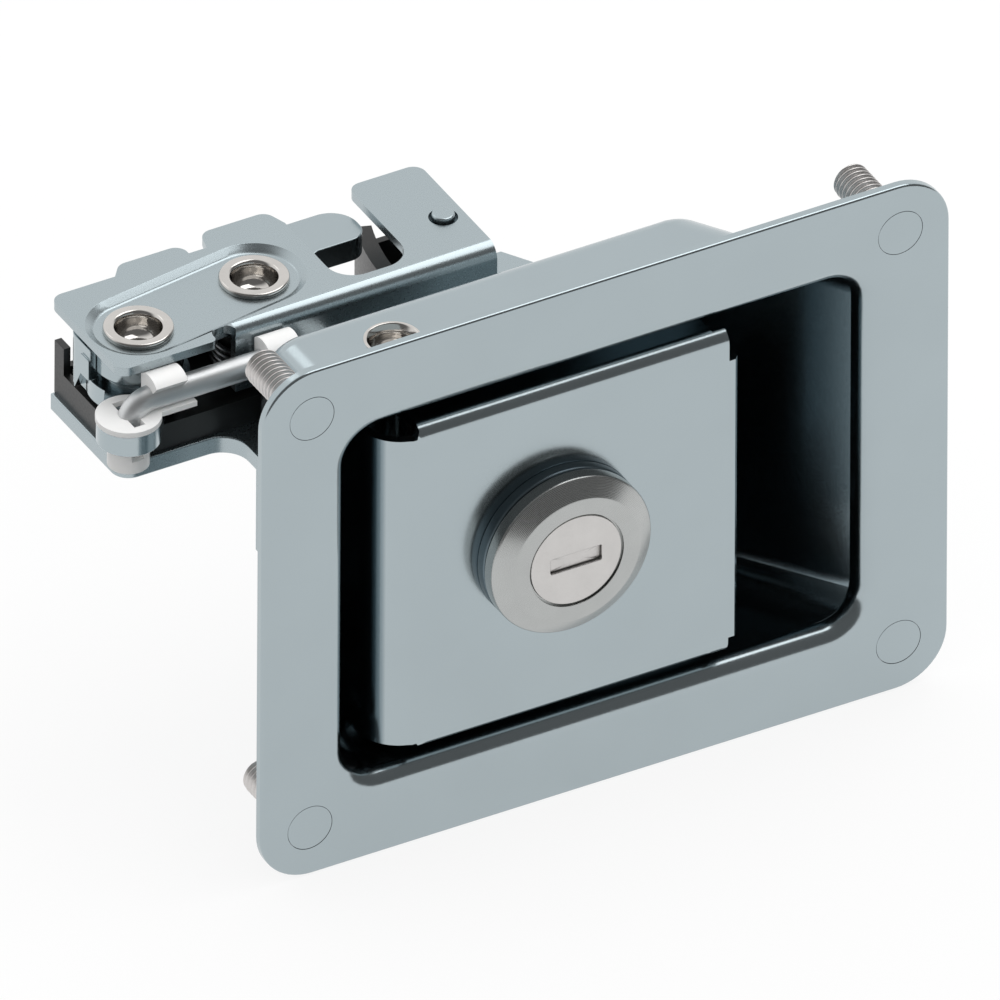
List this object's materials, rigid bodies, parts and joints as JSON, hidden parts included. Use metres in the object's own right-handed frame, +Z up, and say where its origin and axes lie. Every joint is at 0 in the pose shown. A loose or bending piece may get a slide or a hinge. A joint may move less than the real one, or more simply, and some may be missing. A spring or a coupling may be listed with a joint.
{
  "type": "slam latch",
  "caption": "Flush paddle slam latch: pressed dish with keyed folding paddle, pull rod and a rotary latch block with forked catch.",
  "frame": {"origin": "centre of the flange's rear face, where it lies on the door", "axes": "+Y into the door, +X to the right seen from outside, +Z up"},
  "size_m": [0.1282, 0.0713, 0.094],
  "materials": {
    "zinc_sheet": "bright zinc plated pressed sheet, satin",
    "stud_steel": "zinc plated steel, rolled thread or turned",
    "nickel_steel": "nickel plated, bright",
    "spring_steel": "drawn spring wire",
    "dark_steel": "dark passivated steel",
    "bezel_zinc": "die cast, turned face",
    "plug_steel": "fine turned face",
    "black_nylon": "moulded, slightly grained",
    "rod_steel": "bent wire, zinc plated",
    "white_acetal": "moulded, smooth"
  },
  "bodies": {
    "frame": {"pan": "zinc_sheet", "mounting_studs": "stud_steel", "hinge_pin_top": "nickel_steel", "hinge_pin_bottom": "nickel_steel", "hinge_washer_top": "black_nylon", "hinge_washer_bottom": "black_nylon", "return_spring": "spring_steel", "base_plate": "zinc_sheet", "latch_housing": "black_nylon", "top_plate": "zinc_sheet", "rivet_left": "nickel_steel", "rivet_right": "nickel_steel", "spacer_pin": "stud_steel", "rotor_spring": "spring_steel", "pawl_spring": "spring_steel"},
    "paddle": {"paddle": "zinc_sheet", "paddle_arm": "zinc_sheet", "lock_washer": "dark_steel", "lock_housing": "bezel_zinc", "lock_nut": "stud_steel"},
    "key_plug": {"lock_plug": "plug_steel", "lock_cam": "zinc_sheet", "cam_screw": "stud_steel"},
    "release": {"trigger_lever": "zinc_sheet", "pawl": "zinc_sheet"},
    "rod": {"pull_rod": "rod_steel", "rod_clip_left": "white_acetal", "rod_clip_right": "white_acetal"},
    "rotor": {"rotor": "zinc_sheet"}
  },
  "joints": [
    {"name": "paddle_hinge", "type": "hinge", "parent": "frame", "child": "paddle", "pos_m": [-0.029, 0.0135, 0], "axis": [0, 0, 1], "range_deg": [-18, 0], "stiffness_Nm_per_rad": 0.15, "springref_deg": 17.19},
    {"name": "key_turn", "type": "hinge", "parent": "paddle", "child": "key_plug", "pos_m": [-0.0087, 0, 0.0015], "axis": [0, -1, 0], "range_deg": [0, 90]},
    {"name": "release_pivot", "type": "hinge", "parent": "frame", "child": "release", "pos_m": [-0.0553, 0.0463, 0.02], "axis": [0, 0, 1], "range_deg": [-1, 32]},
    {"name": "rod_pivot", "type": "hinge", "parent": "release", "child": "rod", "pos_m": [-0.0631, 0.0352, 0.02], "axis": [0, 0, 1], "range_deg": [-28, 1]},
    {"name": "rotor_pivot", "type": "hinge", "parent": "frame", "child": "rotor", "pos_m": [-0.0333, 0.0495, 0.023], "axis": [0, 0, 1], "range_deg": [-1, 37]}
  ],
  "couplings": [
    {"joint": "release_pivot", "follows": "paddle_hinge", "ratio": -1.72},
    {"joint": "rod_pivot", "follows": "paddle_hinge", "ratio": 1.48},
    {"joint": "rotor_pivot", "follows": "paddle_hinge", "ratio": -2}
  ]
}
